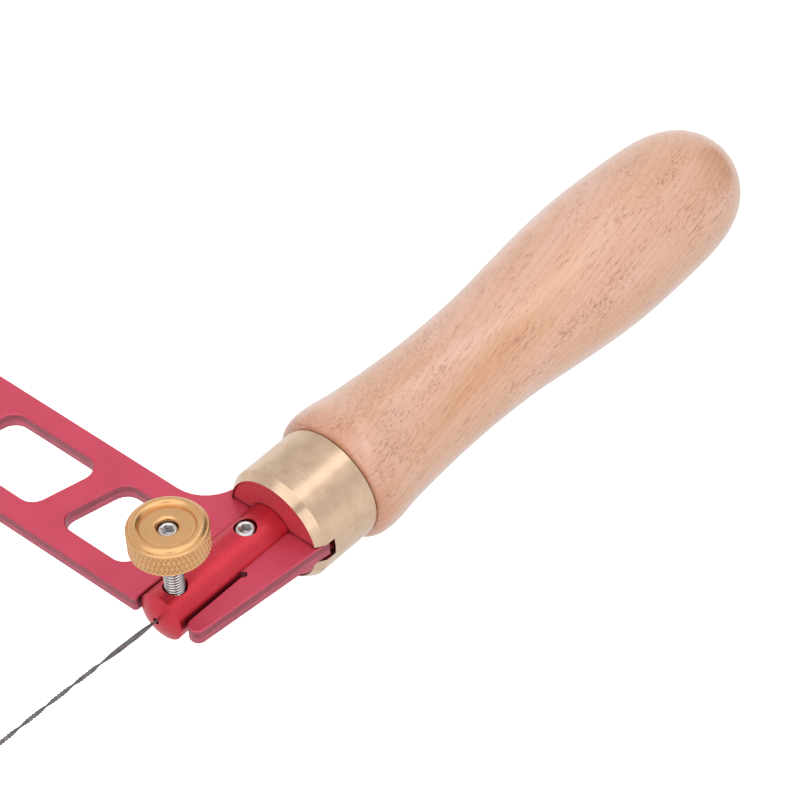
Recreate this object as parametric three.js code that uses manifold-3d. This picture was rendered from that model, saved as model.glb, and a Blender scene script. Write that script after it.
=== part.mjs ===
// Jeweler's saw frame with a 125 mm throat, as separate pieces.
// Millimetres, +Z up, the saw lying on its side.
//
// Inside this file the tool has its own origin: x = 0 is the front edge of the ferrule, y = 0 the
// axis of the handle and z = 0 the middle of the frame plate. +X runs along the blade towards the
// handle, +Y from the blade to the spine of the frame. The last lines move the whole saw so that
// the origin is the middle of the underside of its bounding box.

import * as THREE from 'three';
import { mergeVertices } from 'three/addons/utils/BufferGeometryUtils.js';
import Module from 'manifold-3d';

const wasm = await Module();
wasm.setup();

// ---------------------------------------------------------------- driving sizes

const CLEARANCE = 0.05;            // between pieces that are fitted together
const ROUND = 48;                  // sides of a turned piece
const SMALL_ROUND = 24;            // sides of a screw or a pin
const KNOB_ROUND = 40;
const X_AXIS = 'x';
const Y_AXIS = 'y';
const Z_AXIS = 'z';

// frame plate
const PLATE = 4;                   // thickness
const ARM = 29.5;                  // width of the far arm and of the spine
const ARM_NEAR = -5.3;             // handle-side edge of the near arm, which is a little wider
const THROAT_NEAR = ARM_NEAR - 30.05;
const THROAT = 123.15;             // gap between the arms
const THROAT_FAR = THROAT_NEAR - THROAT;
const ARM_FAR = THROAT_FAR - ARM;
const BLADE_Y = 1.1;               // the blade runs this far from the handle axis
const DEPTH = 125;                 // from the blade to the spine
const SPINE_INNER = BLADE_Y + DEPTH;
const SPINE_OUTER = SPINE_INNER + ARM;
const TANG = 13.7;                 // half width of the plate where it enters the ferrule
const TANG_DEPTH = 4.7;            // how far that full width reaches into the ferrule
const FINGER_END = 3.5;            // the finger's side of the tang stops a little short of it
const TONGUE = 5.5;                // half width of the tongue inside the collar
const TONGUE_END = 20;
const RAIL = 5.9;                  // plate left beside the windows
const SLANT = -0.25;               // slope of the webs between the windows
const WEB = 7.05;                  // width of a web along the arm

// slot of the near arm, in which the clamp barrel lies
const SLOT_HIGH = 7.6;
const SLOT_LOW = -5.5;
const SLOT_END = -15.2;
const FINGER_TIP = -33.9;          // the finger beside the barrel is narrow at its tip
const FINGER_LOW = -9.7;
const FINGER_ROOT = -13.4;
const RELIEF = 0.9;                // radius of the round reliefs in the slot's corners

// handle end
const FERRULE = 14;                // outer radius
const FERRULE_BORE = 12.4;
const FERRULE_LENGTH = 18.4;
const COLLAR_FACE = 0.35;
const COLLAR_STEP = 9.5;
const COLLAR_CORE = 7;
const COLLAR_END = 34.5;
const HANDLE_END = 155.1;
const HANDLE_RADIUS = 17.25;       // at the fattest place

// clamps
const BARREL = 6;                  // radius
const DOME = 1.65;                 // height of the barrel's domed front
const NEAR_TIP = -35.7;
const NEAR_BARREL_END = 0.3;
const BLADE_SPAN = 112.4;          // free blade between the two tips
const FAR_TIP = NEAR_TIP - BLADE_SPAN;
const FAR_BARREL_LENGTH = 29.9;
const CLAMP_SETBACK = 6.6;         // from a barrel's tip to its thumb screw
const BLADE_FLOOR = -0.3;          // the blade is pressed down on this level
const BLADE_BORE = 0.8;            // radius of the hole for the blade
const M5 = 2.45;                   // radius over the thread
const M5_HOLE = 2.62;
const KNOB = 9;                    // radius
const KNOB_UNDERSIDE = 18.3;       // height above the blade
const KNOB_HEIGHT = 6.8;
const SET_SCREW_X = -7.2;

// blade
const BLADE_LENGTH = 130;
const BLADE_WIDTH = 1.1;
const BLADE_THICKNESS = 0.5;
const BLADE_NEAR_END = -26.6;
const HALF_TWIST = 7;              // blade length for half a turn of the spiral
const BLADE_BOW = 1.6;             // the slack blade bows this far towards the spine

// tensioner on the far arm
const HOUSING_RADIUS = 9.5;
const HOUSING_WALL = 4;            // end wall that carries the tension knob
const HOUSING_BORE = BARREL + 0.08;
const JAW_REACH = 23;              // the housing's jaws reach up the arm to here
const JAW = 6.5;                   // half thickness of the two jaws
const ARM_END = 8.5;               // lower edge of the far arm, inside the jaws
const TRAVEL = 4;                  // slackening travel of the far clamp
const WASHER = 1;
const TENSION_KNOB = 7.5;          // length
const ROD_START = -166;
const ROD_END = -198.5;

// ---------------------------------------------------------------- materials

const finish = (color, roughness, metalness) =>
  new THREE.MeshStandardMaterial({ color, roughness, metalness });

const RED = finish(0xb0182b, 0.38, 0.75);
const RED_PLATE = finish(0xc23a4d, 0.45, 0.6);
const GOLD = finish(0xc79a55, 0.32, 0.9);
const BRASS = finish(0xbba273, 0.3, 0.95);
const STEEL = finish(0xa9a9a7, 0.28, 1);
const SPRING_STEEL = finish(0x55555a, 0.45, 0.9);
const BEECH = finish(0xd3a27d, 0.35, 0);

// ---------------------------------------------------------------- solids

// A closed three.js geometry as a manifold solid.
function solid(geometry) {
  const bare = geometry.clone();
  bare.deleteAttribute('normal');
  bare.deleteAttribute('uv');
  const merged = mergeVertices(bare, 1e-4);
  return new wasm.Manifold(new wasm.Mesh({
    numProp: 3,
    vertProperties: new Float32Array(merged.attributes.position.array),
    triVerts: new Uint32Array(merged.index.array),
  }));
}

// A manifold solid as a named mesh.
function piece(name, body, material) {
  const mesh = body.getMesh();
  const geometry = new THREE.BufferGeometry();
  geometry.setAttribute('position', new THREE.BufferAttribute(new Float32Array(mesh.vertProperties), 3));
  geometry.setIndex(new THREE.BufferAttribute(new Uint32Array(mesh.triVerts), 1));
  geometry.computeVertexNormals();
  const result = new THREE.Mesh(geometry, material);
  result.name = name;
  return result;
}

const minus = (body, ...cutters) => cutters.reduce((rest, cutter) => rest.subtract(cutter), body);

// A box from its lower to its upper corner.
function box(low, high) {
  const geometry = new THREE.BoxGeometry(high[0] - low[0], high[1] - low[1], high[2] - low[2]);
  geometry.translate((low[0] + high[0]) / 2, (low[1] + high[1]) / 2, (low[2] + high[2]) / 2);
  return solid(geometry);
}

// Turns a geometry that was made along Y so that it lies along another axis.
function alongAxis(geometry, axis) {
  if (axis === X_AXIS) geometry.rotateZ(-Math.PI / 2);
  if (axis === Z_AXIS) geometry.rotateX(Math.PI / 2);
  return geometry;
}

// A turned piece. The profile lists [position along the axis, radius], runs once round the section
// and starts and ends on the axis or closes on itself.
function turned(profile, axis, centre, sides = ROUND) {
  const points = profile.map(([along, radius]) => new THREE.Vector2(radius, along));
  const geometry = alongAxis(new THREE.LatheGeometry(points, sides), axis);
  geometry.translate(...centre);
  return solid(geometry);
}

// A plain round bar from one position to another along an axis.
function bar(axis, from, to, radius, centre, sides = SMALL_ROUND) {
  return turned([[from, 0], [from, radius], [to, radius], [to, 0]], axis, centre, sides);
}

// A ring with a plain bore.
function ring(axis, from, to, outer, bore, centre, sides = ROUND) {
  return turned([[from, bore], [from, outer], [to, outer], [to, bore], [from, bore]], axis, centre, sides);
}

// The hexagon socket of a screw, as a cutter.
function socket(axis, from, to, acrossFlats, centre) {
  return bar(axis, from, to, acrossFlats / Math.sqrt(3), centre, 6);
}

// An outline through corners [x, y, radius], each corner rounded by an arc of its radius.
function outline(corners, target = new THREE.Shape()) {
  const count = corners.length;
  const at = (index) => new THREE.Vector2(...corners[(index + count) % count]);
  for (let index = 0; index < count; index += 1) {
    const corner = at(index);
    const radius = corners[index][2] || 0;
    const before = at(index - 1).sub(corner).normalize();
    const after = at(index + 1).sub(corner).normalize();
    const half = Math.acos(THREE.MathUtils.clamp(before.dot(after), -1, 1)) / 2;
    const reach = radius / Math.tan(half);
    const start = corner.clone().addScaledVector(before, reach);
    if (index === 0) target.moveTo(start.x, start.y);
    else target.lineTo(start.x, start.y);
    if (radius > 0) {
      const middle = before.clone().add(after).normalize();
      const centre = corner.clone().addScaledVector(middle, radius / Math.sin(half));
      const end = corner.clone().addScaledVector(after, reach);
      const clockwise = before.cross(after) > 0;
      const first = start.clone().sub(centre).angle();
      const last = end.clone().sub(centre).angle();
      target.absarc(centre.x, centre.y, radius, first, last, clockwise);
    }
  }
  target.closePath();
  return target;
}

// ---------------------------------------------------------------- frame plate

// A window between two slanted edges. Its long sides run along the arm, at 'left' and 'right';
// 'low' and 'high' are where the slanted edges cross the middle between them.
function armWindow(left, right, low, high, slant) {
  const lean = slant * (right - left) / 2;
  const radius = 4;
  return outline([
    [left, low - lean, radius],
    [right, low + lean, radius],
    [right, high + lean, radius],
    [left, high - lean, radius],
  ], new THREE.Path());
}

// The same for the spine, whose webs lean across it.
function spineWindow(left, right) {
  const low = SPINE_INNER + RAIL;
  const high = SPINE_OUTER - RAIL;
  const lean = SLANT * (high - low) / 2;
  const radius = 4;
  return outline([
    [left - lean, low, radius],
    [right - lean, low, radius],
    [right + lean, high, radius],
    [left + lean, high, radius],
  ], new THREE.Path());
}

function framePlate() {
  const shape = outline([
    [TONGUE_END, -TONGUE, 0.6],
    [TONGUE_END, TONGUE, 0.6],
    [TANG_DEPTH, TONGUE, 0],
    [TANG_DEPTH, TANG, 0],
    [ARM_NEAR, TANG, 9.95],
    [ARM_NEAR, SPINE_OUTER, 16],
    [ARM_FAR, SPINE_OUTER, 16],
    [ARM_FAR, ARM_END, 3],
    [THROAT_FAR, ARM_END, 3],
    [THROAT_FAR, SPINE_INNER, 12],
    [THROAT_NEAR, SPINE_INNER, 12],
    [THROAT_NEAR, SLOT_HIGH, 1],
    [SLOT_END, SLOT_HIGH, 0],
    [SLOT_END, SLOT_LOW, 0],
    [FINGER_TIP, SLOT_LOW, 2.2],
    [FINGER_TIP, FINGER_LOW, 1.8],
    [FINGER_END, FINGER_ROOT, 0],
    [FINGER_END, -TONGUE, 0],
  ]);

  // The windows follow one another up each arm, with a slanted web between them.
  const edges = [14.5, 35.75];
  const windowLength = 28.3;
  while (edges.at(-1) + WEB + windowLength < SPINE_INNER) {
    const low = edges.at(-1) + WEB;
    edges.push(low, low + windowLength);
  }
  for (let index = 0; index < edges.length; index += 2) {
    const [low, high] = edges.slice(index, index + 2);
    shape.holes.push(armWindow(THROAT_NEAR + RAIL, ARM_NEAR - RAIL, low, high, SLANT));
    // the jaws of the tension housing take the place of the far arm's first window
    if (index > 0) shape.holes.push(armWindow(ARM_FAR + RAIL, THROAT_FAR - RAIL, low, high, -SLANT));
  }
  const spineCount = 4;
  const spineLength = (THROAT - WEB * (spineCount - 1)) / spineCount;
  for (let index = 0; index < spineCount; index += 1) {
    const left = THROAT_FAR + index * (spineLength + WEB);
    shape.holes.push(spineWindow(left, left + spineLength));
  }

  const chamfer = 0.3;
  const geometry = new THREE.ExtrudeGeometry(shape, {
    depth: PLATE - 2 * chamfer,
    curveSegments: 4,
    bevelEnabled: true,
    bevelThickness: chamfer,
    bevelSize: chamfer,
    bevelOffset: -chamfer,
    bevelSegments: 1,
  });
  geometry.translate(0, 0, -PLATE / 2 + chamfer);

  const reliefs = [SLOT_HIGH, SLOT_LOW].map((y) =>
    bar(Z_AXIS, -PLATE, PLATE, RELIEF, [SLOT_END, y, 0]));
  const setScrewDimple = bar(Z_AXIS, 0.5, PLATE, M5_HOLE, [SET_SCREW_X, BLADE_Y, 0]);
  const pinHole = bar(Z_AXIS, -PLATE, PLATE, TANG_PIN + CLEARANCE, [TANG_PIN_X, 0, 0]);
  const screwHoles = HOUSING_SCREWS.map((x) =>
    bar(Z_AXIS, -PLATE, PLATE, M4_HOLE, [x, HOUSING_SCREW_Y, 0]));
  return minus(solid(geometry), ...reliefs, setScrewDimple, pinHole, ...screwHoles);
}

// ---------------------------------------------------------------- handle end

const TANG_PIN = 1.5;
const TANG_PIN_X = 14;
const STUD = 2.95;
const STUD_START = 24.2;
const STUD_END = 57;
const INSERT = [36, 52];
const INSERT_RADIUS = 5;
const CENTRE = [0, 0, 0];

function ferrule() {
  const body = turned([
    [0, FERRULE_BORE],
    [0, FERRULE_BORE + 0.2],
    [2.2, FERRULE],
    [FERRULE_LENGTH - 0.3, FERRULE],
    [FERRULE_LENGTH, FERRULE - 0.3],
    [FERRULE_LENGTH, FERRULE_BORE],
    [0, FERRULE_BORE],
  ], X_AXIS, CENTRE);
  const slot = 2.3;                // half height, a little more than the plate needs
  return minus(body, box([-1, -20, -slot], [TANG_DEPTH + 0.1, 20, slot]));
}

function collar() {
  const body = turned([
    [COLLAR_FACE, 0],
    [COLLAR_FACE, FERRULE_BORE - CLEARANCE],
    [COLLAR_STEP, FERRULE_BORE - CLEARANCE],
    [COLLAR_STEP, COLLAR_CORE],
    [COLLAR_END, COLLAR_CORE],
    [COLLAR_END, 0],
  ], X_AXIS, CENTRE);
  const gap = PLATE / 2 + CLEARANCE;
  const tangSlot = box([-1, -20, -gap], [TANG_DEPTH + 0.05, 20, gap]);
  const tongueSlot = box([-1, -TONGUE - 0.1, -gap], [TONGUE_END + 0.1, TONGUE + 0.1, gap]);
  const pinHole = bar(Z_AXIS, -20, 20, TANG_PIN + CLEARANCE, [TANG_PIN_X, 0, 0]);
  const studHole = bar(X_AXIS, STUD_START - 0.2, 40, STUD + CLEARANCE, CENTRE);
  return minus(body, tangSlot, tongueSlot, pinHole, studHole);
}

function tangPin() {
  return bar(Z_AXIS, -6.6, 6.6, TANG_PIN, [TANG_PIN_X, 0, 0]);
}

function handle() {
  const belly = new THREE.SplineCurve([
    new THREE.Vector2(23, 16.2),
    new THREE.Vector2(26.5, 15.95),
    new THREE.Vector2(32, 15.2),
    new THREE.Vector2(42, 14.45),
    new THREE.Vector2(52, 14),
    new THREE.Vector2(62, 13.95),
    new THREE.Vector2(74, 14.35),
    new THREE.Vector2(86, 15.5),
    new THREE.Vector2(98, 16.65),
    new THREE.Vector2(110, HANDLE_RADIUS),
    new THREE.Vector2(120, 17.1),
    new THREE.Vector2(130, 16.65),
    new THREE.Vector2(138, 15.9),
    new THREE.Vector2(143.5, 14.6),
    new THREE.Vector2(148, 12.5),
    new THREE.Vector2(151.6, 9.3),
    new THREE.Vector2(154.1, 5.2),
    new THREE.Vector2(HANDLE_END, 0),
  ]);
  const surface = belly.getPoints(26).map((point) => [point.x, Math.max(0, point.y)]);
  surface.at(-1)[1] = 0;
  return turned([
    [STUD_END + 1, 0],
    [STUD_END + 1, STUD + 0.3],
    [INSERT[1] + 0.5, STUD + 0.3],
    [INSERT[1] + 0.5, INSERT_RADIUS + CLEARANCE],
    [COLLAR_END + 0.3, INSERT_RADIUS + CLEARANCE],
    [COLLAR_END + 0.3, COLLAR_CORE + CLEARANCE],
    [COLLAR_STEP + 0.3, COLLAR_CORE + CLEARANCE],
    [COLLAR_STEP + 0.3, FERRULE_BORE - CLEARANCE],
    [FERRULE_LENGTH + CLEARANCE, FERRULE_BORE - CLEARANCE],
    [FERRULE_LENGTH + CLEARANCE, 14.4],
    [19.3, 15.4],
    [20.8, 16],
    ...surface,
  ], X_AXIS, CENTRE);
}

function handleInsert() {
  const [start, end] = INSERT;
  return ring(X_AXIS, start, end, INSERT_RADIUS, STUD + CLEARANCE, CENTRE);
}

function handleStud() {
  const tip = 0.6;
  return turned([
    [STUD_START, 0],
    [STUD_START, STUD - tip],
    [STUD_START + tip, STUD],
    [STUD_END - tip, STUD],
    [STUD_END, STUD - tip],
    [STUD_END, 0],
  ], X_AXIS, CENTRE, SMALL_ROUND);
}

// ---------------------------------------------------------------- blade clamps

// A round barrel with a domed tip. 'direction' is +1 where the tip looks along +X.
function barrelBody(tip, end, direction) {
  const sphere = (BARREL ** 2 + DOME ** 2) / (2 * DOME);
  const profile = [];
  const steps = 8;
  for (let step = 0; step <= steps; step += 1) {
    const radius = BARREL * step / steps;
    const back = sphere - Math.sqrt(sphere ** 2 - radius ** 2);
    profile.push([tip - direction * back, radius]);
  }
  profile.push([end, BARREL], [end, 0]);
  if (direction > 0) profile.reverse();
  return turned(profile, X_AXIS, [0, BLADE_Y, 0]);
}

// The holes that both barrels share: one for the thumb screw and its pad, a little wider at its
// mouth, and one for the blade.
function clampCutters(tip, direction, bladeEnd) {
  const screw = tip - direction * CLAMP_SETBACK;
  const ahead = tip + direction * 2;
  const [low, high] = [ahead, bladeEnd].sort((a, b) => a - b);
  return [
    bar(Z_AXIS, BLADE_FLOOR, 10, M5_HOLE, [screw, BLADE_Y, 0]),
    bar(Z_AXIS, BARREL - 1.6, 10, M5_HOLE + 0.2, [screw, BLADE_Y, 0]),
    bar(X_AXIS, low, high, BLADE_BORE, [0, BLADE_Y, 0], 16),
  ];
}

function nearBarrel() {
  const gap = PLATE / 2 + CLEARANCE;
  return minus(
    barrelBody(NEAR_TIP, NEAR_BARREL_END, -1),
    ...clampCutters(NEAR_TIP, -1, -24.5),
    box([SLOT_END - 0.25, -20, -gap], [5, 20, gap]),
    bar(Z_AXIS, 1, 10, M5_HOLE, [SET_SCREW_X, BLADE_Y, 0]),
  );
}

// A headless M5 screw with a hexagon socket in its upper end.
function nearSetScrew() {
  const [low, high] = [0.55, 5.7];
  const centre = [SET_SCREW_X, BLADE_Y, 0];
  const body = turned([
    [low, 0],
    [low, M5 - 0.5],
    [low + 0.5, M5],
    [high - 0.25, M5],
    [high, M5 - 0.25],
    [high, 0],
  ], Z_AXIS, centre, SMALL_ROUND);
  return minus(body, socket(Z_AXIS, high - 2.2, high + 1, 2.5, centre));
}

// The brass pad under a thumb screw presses the blade on the floor of the barrel.
function pressurePad(x) {
  const low = BLADE_THICKNESS / 2 + 0.02;
  const body = turned([
    [low, 0],
    [low, M5 - 0.25],
    [1.9, M5 - 0.25],
    [2.15, M5 - 0.5],
    [2.15, 0],
  ], Z_AXIS, [x, BLADE_Y, 0], SMALL_ROUND);
  return body;
}

// A screw with its edges broken at both ends. The crests of the thread are its outer surface.
function screwBar(axis, from, to, centre) {
  const edge = 0.4;
  return turned([
    [from, 0],
    [from, M5 - edge],
    [from + edge, M5],
    [to - edge, M5],
    [to, M5 - edge],
    [to, 0],
  ], axis, centre, SMALL_ROUND);
}

const STUD_TIP = 2.2;
const THUMB_STUD_TOP = KNOB_UNDERSIDE + 5;

function thumbStud(x) {
  const centre = [x, BLADE_Y, 0];
  const body = screwBar(Z_AXIS, STUD_TIP, THUMB_STUD_TOP, centre);
  return minus(body, socket(Z_AXIS, THUMB_STUD_TOP - 2.5, THUMB_STUD_TOP + 1, 2.5, centre));
}

// The section of a knurled knob, along its axis from its inner face: a plain lead-in, the knurled
// band, a groove, and a rounded rim around a shallow recess.
function knobProfile(start, height, direction) {
  const bore = M5 + CLEARANCE;
  const section = [
    [0, bore],
    [0, KNOB - 0.7],
    [0.7, KNOB],
    [height - 2.1, KNOB],
    [height - 1.85, KNOB - 0.3],
    [height - 1.1, KNOB - 0.3],
    [height - 0.4, KNOB - 0.7],
    [height, KNOB - 1.6],
    [height - 0.1, 6.6],
    [height - 0.9, 6.1],
    [height - 1, bore],
    [0, bore],
  ].map(([along, radius]) => [start + direction * along, radius]);
  if (direction < 0) section.reverse();
  return section;
}

function thumbKnob(x) {
  return turned(knobProfile(KNOB_UNDERSIDE, KNOB_HEIGHT, 1), Z_AXIS, [x, BLADE_Y, 0], KNOB_ROUND);
}

// ---------------------------------------------------------------- blade

// A flat strip that stays flat in the clamps and is twisted into a spiral between them.
function blade() {
  const steps = 110;
  const flat = 15;                 // untwisted length at each end
  const geometry = new THREE.BoxGeometry(BLADE_LENGTH, BLADE_WIDTH, BLADE_THICKNESS, steps, 1, 1);
  const spiral = BLADE_LENGTH - 2 * flat;
  const turnCount = Math.round(spiral / HALF_TWIST);
  const position = geometry.attributes.position;
  for (let index = 0; index < position.count; index += 1) {
    const along = position.getX(index) + BLADE_LENGTH / 2;
    const share = THREE.MathUtils.clamp((along - flat) / spiral, 0, 1);
    const angle = share * turnCount * Math.PI;
    const y = position.getY(index);
    const z = position.getZ(index);
    const free = (NEAR_TIP - (BLADE_NEAR_END - BLADE_LENGTH + along)) / BLADE_SPAN;
    const bow = BLADE_BOW * Math.sin(Math.PI * THREE.MathUtils.clamp(free, 0, 1));
    position.setY(index, y * Math.cos(angle) - z * Math.sin(angle) + bow);
    position.setZ(index, y * Math.sin(angle) + z * Math.cos(angle));
  }
  geometry.translate(BLADE_NEAR_END - BLADE_LENGTH / 2, BLADE_Y, 0);
  return solid(geometry);
}

// ---------------------------------------------------------------- tensioner

const M4 = 1.95;
const M4_HOLE = 2.1;
const HOUSING_SCREWS = [THROAT_FAR - 7.5, ARM_FAR + 7.5];
const HOUSING_SCREW_Y = 16;
const GUIDE_X = THROAT_FAR - 11.5;
const GUIDE_DOG = 1.3;
const ROD_PIN = 1;
const ROD_PIN_X = -174;
const FAR_CLAMP_X = FAR_TIP - CLAMP_SETBACK;
const FAR_BARREL_END = FAR_TIP - FAR_BARREL_LENGTH;
const HOUSING_INNER_END = ARM_FAR + HOUSING_WALL;

function tensionHousing() {
  const jaws = outline([
    [BLADE_Y, -JAW, 0],
    [JAW_REACH, -JAW, 1.5],
    [JAW_REACH, JAW, 1.5],
    [BLADE_Y, JAW, 0],
  ]);
  const jawGeometry = new THREE.ExtrudeGeometry(jaws, { depth: ARM, bevelEnabled: false, curveSegments: 4 });
  // the profile is drawn across the saw, so turn it to run along X
  jawGeometry.rotateX(Math.PI / 2);
  jawGeometry.rotateZ(Math.PI / 2);
  jawGeometry.translate(ARM_FAR, 0, 0);
  const edge = 0.5;
  const round = turned([
    [ARM_FAR, 0],
    [ARM_FAR, HOUSING_RADIUS - edge],
    [ARM_FAR + edge, HOUSING_RADIUS],
    [THROAT_FAR - edge, HOUSING_RADIUS],
    [THROAT_FAR, HOUSING_RADIUS - edge],
    [THROAT_FAR, 0],
  ], X_AXIS, [0, BLADE_Y, 0]);
  const gap = PLATE / 2 + CLEARANCE;
  const axis = [0, BLADE_Y, 0];
  return minus(
    round.add(solid(jawGeometry)),
    bar(X_AXIS, HOUSING_INNER_END, THROAT_FAR + 5, HOUSING_BORE, axis, ROUND),
    bar(X_AXIS, ARM_FAR - 5, HOUSING_INNER_END + 1, M5 + 0.35, axis),
    box([ARM_FAR - 5, ARM_END - CLEARANCE, -gap], [THROAT_FAR + 5, JAW_REACH + 5, gap]),
    ...HOUSING_SCREWS.map((x) => bar(Z_AXIS, -20, 20, M4_HOLE, [x, HOUSING_SCREW_Y, 0])),
    bar(Z_AXIS, 4, 20, M4_HOLE, [GUIDE_X, BLADE_Y, 0]),
  );
}

// A low round-headed screw through both jaws and the arm.
function housingScrew(x) {
  const head = 3.8;
  const top = JAW + 2.2;
  const seat = JAW + 0.02;
  const centre = [x, HOUSING_SCREW_Y, 0];
  const body = turned([
    [-JAW + 0.5, 0],
    [-JAW + 0.5, M4],
    [seat, M4],
    [seat, head],
    [seat + 0.5, head],
    [seat + 1.4, head - 0.7],
    [top, head - 1.9],
    [top, 0],
  ], Z_AXIS, centre, SMALL_ROUND);
  return minus(body, socket(Z_AXIS, top - 1.5, top + 1, 2.5, centre));
}

// The guide screw's dog keeps the far barrel from turning.
function guideScrew() {
  const top = HOUSING_RADIUS - 0.6;
  const shoulder = BARREL + 0.25;
  const centre = [GUIDE_X, BLADE_Y, 0];
  const body = turned([
    [BARREL - 1.2, 0],
    [BARREL - 1.2, GUIDE_DOG],
    [shoulder, GUIDE_DOG],
    [shoulder, M4],
    [top, M4],
    [top, 0],
  ], Z_AXIS, centre, SMALL_ROUND);
  return minus(body, socket(Z_AXIS, top - 1.6, top + 1, 2, centre));
}

function farBarrel() {
  const groove = GUIDE_DOG + 0.1;
  const rodHole = bar(X_AXIS, FAR_BARREL_END - 5, ROD_START + 0.4, M5_HOLE, [0, BLADE_Y, 0]);
  const pinHole = bar(Y_AXIS, -20, 20, ROD_PIN + CLEARANCE, [ROD_PIN_X, 0, 0]);
  return minus(
    barrelBody(FAR_TIP, FAR_BARREL_END, 1),
    ...clampCutters(FAR_TIP, 1, FAR_CLAMP_X - 7),
    rodHole,
    pinHole,
    box([GUIDE_X - TRAVEL - groove, BLADE_Y - groove, BARREL - 1.4],
      [GUIDE_X + groove, BLADE_Y + groove, BARREL + 5]),
  );
}

function drawRod() {
  const body = screwBar(X_AXIS, ROD_END, ROD_START, [0, BLADE_Y, 0]);
  return minus(body, bar(Y_AXIS, -20, 20, ROD_PIN + CLEARANCE, [ROD_PIN_X, 0, 0]));
}

function rodPin() {
  return bar(Y_AXIS, BLADE_Y - BARREL + 0.3, BLADE_Y + BARREL - 0.3, ROD_PIN, [ROD_PIN_X, 0, 0]);
}

const WASHER_FACE = ARM_FAR - CLEARANCE;
const TENSION_KNOB_FACE = WASHER_FACE - WASHER - CLEARANCE;

function thrustWasher() {
  return ring(X_AXIS, WASHER_FACE - WASHER, WASHER_FACE, 7, M5 + 0.25, [0, BLADE_Y, 0]);
}

function tensionKnob() {
  return turned(knobProfile(TENSION_KNOB_FACE, TENSION_KNOB, -1), X_AXIS, [0, BLADE_Y, 0], KNOB_ROUND);
}

// ---------------------------------------------------------------- the saw

const NEAR_CLAMP_X = NEAR_TIP + CLAMP_SETBACK;

const saw = new THREE.Group();
saw.add(
  piece('frame_plate', framePlate(), RED_PLATE),
  piece('ferrule', ferrule(), BRASS),
  piece('collar', collar(), RED),
  piece('tang_pin', tangPin(), STEEL),
  piece('handle', handle(), BEECH),
  piece('handle_insert', handleInsert(), BRASS),
  piece('handle_stud', handleStud(), STEEL),
  piece('near_barrel', nearBarrel(), RED),
  piece('near_set_screw', nearSetScrew(), STEEL),
  piece('blade', blade(), SPRING_STEEL),
  piece('tension_housing', tensionHousing(), RED),
  piece('guide_screw', guideScrew(), STEEL),
  piece('far_barrel', farBarrel(), RED),
  piece('draw_rod', drawRod(), STEEL),
  piece('rod_pin', rodPin(), STEEL),
  piece('thrust_washer', thrustWasher(), STEEL),
  piece('tension_knob', tensionKnob(), GOLD),
);
HOUSING_SCREWS.forEach((x, index) => {
  saw.add(piece(`housing_screw_${index + 1}`, housingScrew(x), STEEL));
});
for (const [side, x] of [['near', NEAR_CLAMP_X], ['far', FAR_CLAMP_X]]) {
  saw.add(
    piece(`${side}_pressure_pad`, pressurePad(x), BRASS),
    piece(`${side}_thumb_stud`, thumbStud(x), STEEL),
    piece(`${side}_thumb_knob`, thumbKnob(x), GOLD),
  );
}

// The bounding box runs from the tension rod to the end of the handle, from the handle's side to
// the spine, and up from the handle's underside.
saw.position.set(
  -(ROD_END + HANDLE_END) / 2,
  -(SPINE_OUTER - HANDLE_RADIUS) / 2,
  HANDLE_RADIUS,
);

const object = new THREE.Group();
object.add(saw);

export default object;
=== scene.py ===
"""Looks of the jeweler's saw frame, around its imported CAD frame. Metres, in the row frame."""

import math

import bpy
import numpy as np
from mathutils import Matrix, Vector


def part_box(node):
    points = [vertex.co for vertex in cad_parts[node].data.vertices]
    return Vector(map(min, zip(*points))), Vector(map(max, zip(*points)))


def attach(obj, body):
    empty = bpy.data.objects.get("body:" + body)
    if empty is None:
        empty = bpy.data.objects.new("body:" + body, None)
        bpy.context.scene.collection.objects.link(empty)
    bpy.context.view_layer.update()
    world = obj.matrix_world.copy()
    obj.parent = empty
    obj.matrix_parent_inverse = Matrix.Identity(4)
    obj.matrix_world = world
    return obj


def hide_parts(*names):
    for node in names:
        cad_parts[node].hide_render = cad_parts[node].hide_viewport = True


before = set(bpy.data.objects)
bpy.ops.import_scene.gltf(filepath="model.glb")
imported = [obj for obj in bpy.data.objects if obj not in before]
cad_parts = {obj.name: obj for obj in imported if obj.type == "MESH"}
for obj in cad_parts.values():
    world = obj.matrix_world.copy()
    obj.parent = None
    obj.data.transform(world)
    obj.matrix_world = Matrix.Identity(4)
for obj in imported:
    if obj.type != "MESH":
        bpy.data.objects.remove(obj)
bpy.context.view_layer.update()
scene = bpy.context.scene

MM = 0.001

# The screws' thread: its crest and its root are radii.
M5_CREST = 2.3 * MM
M5_ROOT = 1.92 * MM
M5_PITCH = 0.8 * MM

# A turned piece is drawn round Z, and one of these turns it to its own axis.
UP = Matrix.Identity(3)
ALONG_X = Matrix(((0, 0, 1), (1, 0, 0), (0, 1, 0)))
ALONG_MINUS_X = Matrix(((0, 0, -1), (-1, 0, 0), (0, 1, 0)))


# ---------------------------------------------------------------- places, from the frame

def middle(node):
    """The middle of a CAD node's box."""
    low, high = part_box(node)
    return (low + high) / 2


FERRULE_LOW, FERRULE_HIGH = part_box("ferrule")
HANDLE_LOW, HANDLE_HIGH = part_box("handle")
HANDLE_AXIS = middle("ferrule")
BLADE_AXIS = middle("near_barrel")
FERRULE_FRONT = Vector((FERRULE_LOW.x, HANDLE_AXIS.y, HANDLE_AXIS.z))


# ---------------------------------------------------------------- camera

LOOK_AZIMUTH = math.radians(45.55)
LOOK_DOWN = math.radians(44.74)
LOOK_ROLL = math.radians(-3.95)
LENS = 179.1                       # millimetres, on a sensor 36 mm wide
LENS_DISTANCE = 0.8664             # from the lens to the point it looks at
AIM_RIGHT, AIM_UP = 0.02754, 0.02809     # that point, from the middle of the ferrule's front edge


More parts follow.
